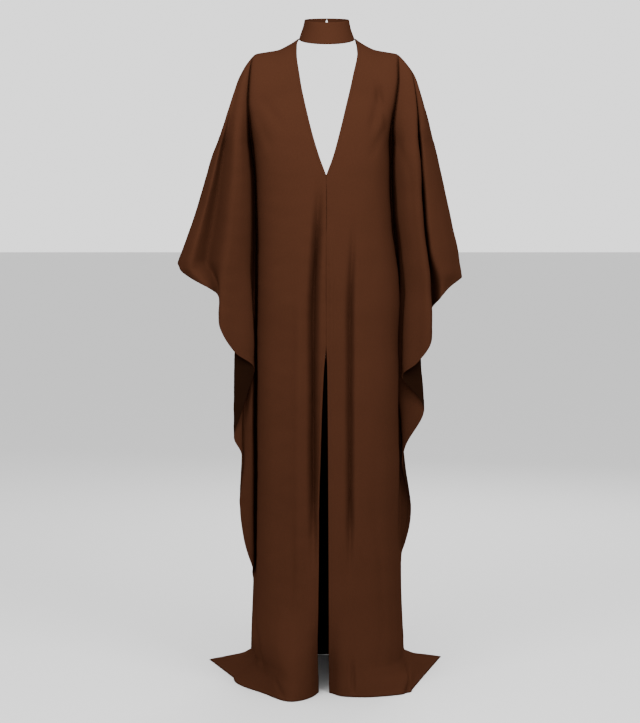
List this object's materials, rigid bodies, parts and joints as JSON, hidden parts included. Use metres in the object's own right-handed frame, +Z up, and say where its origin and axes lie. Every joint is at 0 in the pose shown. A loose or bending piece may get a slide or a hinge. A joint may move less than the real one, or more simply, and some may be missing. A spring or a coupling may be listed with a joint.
{
  "type": "kaftan",
  "caption": "Floor-length kaftan with a stand collar, open V neck and back, front slit and wide cape sleeves that fall in cascades, filled out as worn.",
  "frame": {"origin": "midway between the two neck points, on the line where the shoulders carry the garment", "axes": "+Z up; -Y is the front of the garment; +X is the viewer's right, the wearer's left"},
  "size_m": [0.6688, 0.4677, 1.5589],
  "materials": {
    "crepe": "matte",
    "wire": "blackened"
  },
  "bodies": {
    "root": {"front_left": "crepe", "front_right": "crepe", "back_left": "crepe", "back_right": "crepe", "collar": "crepe", "collar_hook": "wire", "collar_eye": "wire"}
  },
  "joints": []
}
